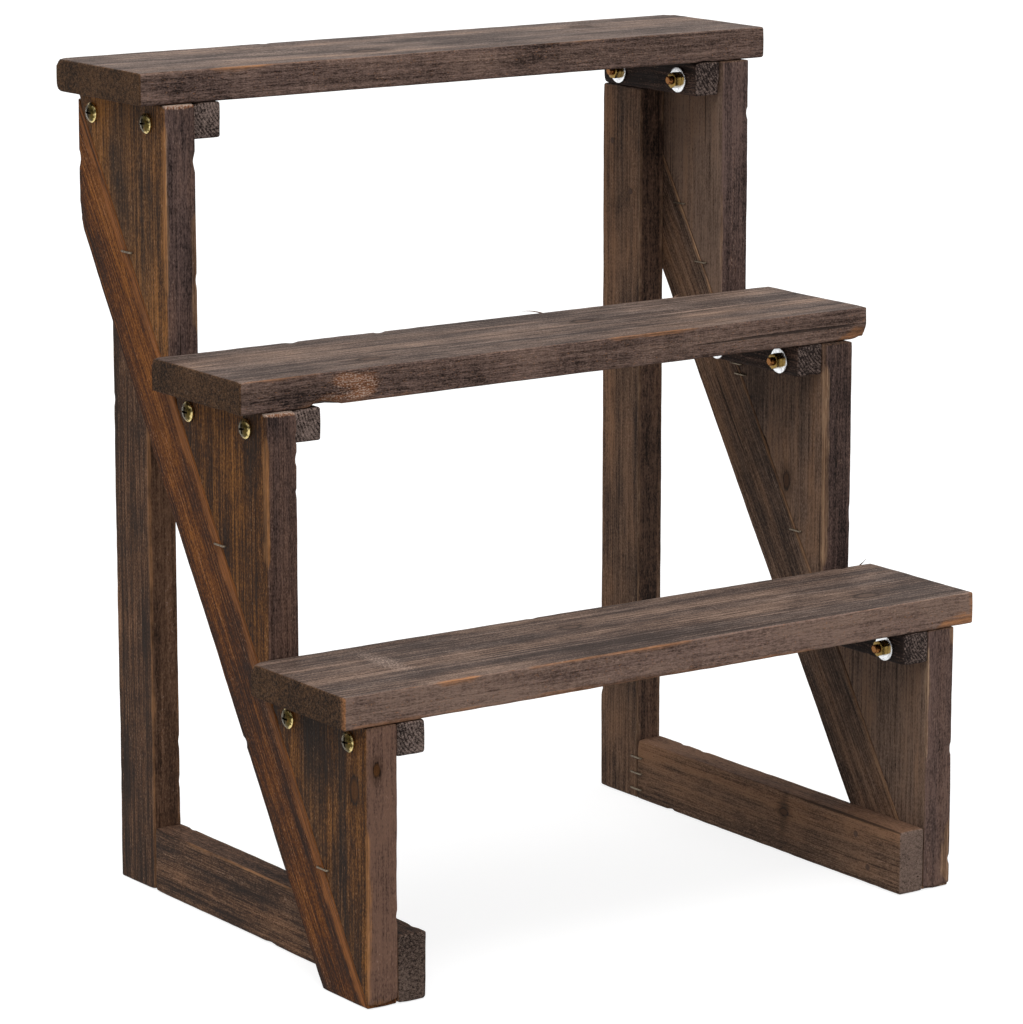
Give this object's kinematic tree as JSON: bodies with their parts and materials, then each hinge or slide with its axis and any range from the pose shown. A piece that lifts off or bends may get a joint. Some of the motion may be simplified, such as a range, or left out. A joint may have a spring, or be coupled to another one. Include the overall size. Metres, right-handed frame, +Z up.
{
  "type": "tiered plant stand",
  "caption": "Staircase plant stand: stepped wooden boards bolted through cleats to triangular plank side frames, each with a sloping brace, a back post and a floor rail.",
  "frame": {"origin": "on the floor, under the centre of the stand's bounding box", "axes": "+Z up, X along the shelves, -Y towards the front with the lowest shelf"},
  "size_m": [0.512, 0.349, 0.572],
  "materials": {
    "shelf_wood": "weathered grey-brown stain on rough-sawn softwood",
    "frame_wood": "dark brown stain, worn to orange-brown at the corners",
    "cleat_wood": "dark brown stain, raw fibrous end grain",
    "yellow_zinc": "yellow chromate zinc plating, satin",
    "bright_zinc": "bright zinc plating",
    "staple_wire": "dull galvanised wire",
    "nail_steel": "plain bright nail steel, dulled"
  },
  "bodies": {
    "root": {"back_post_left": "frame_wood", "back_post_right": "frame_wood", "bolts_lower": "yellow_zinc", "bolts_middle": "yellow_zinc", "bolts_top": "yellow_zinc", "bottom_rail_left": "frame_wood", "bottom_rail_right": "frame_wood", "brace_left": "frame_wood", "brace_right": "frame_wood", "cleat_lower_left": "cleat_wood", "cleat_lower_right": "cleat_wood", "cleat_middle_left": "cleat_wood", "cleat_middle_right": "cleat_wood", "cleat_top_left": "cleat_wood", "cleat_top_right": "cleat_wood", "front_post_left": "frame_wood", "front_post_right": "frame_wood", "middle_post_left": "frame_wood", "middle_post_right": "frame_wood", "nails_left": "nail_steel", "nails_right": "nail_steel", "nuts_lower": "yellow_zinc", "nuts_middle": "yellow_zinc", "nuts_top": "yellow_zinc", "screws_lower": "bright_zinc", "screws_middle": "bright_zinc", "screws_top": "bright_zinc", "shelf_lower": "shelf_wood", "shelf_middle": "shelf_wood", "shelf_top": "shelf_wood", "staples_left": "staple_wire", "staples_right": "staple_wire", "top_post_left": "frame_wood", "top_post_right": "frame_wood", "washers_lower": "bright_zinc", "washers_middle": "bright_zinc", "washers_top": "bright_zinc"}
  },
  "joints": []
}
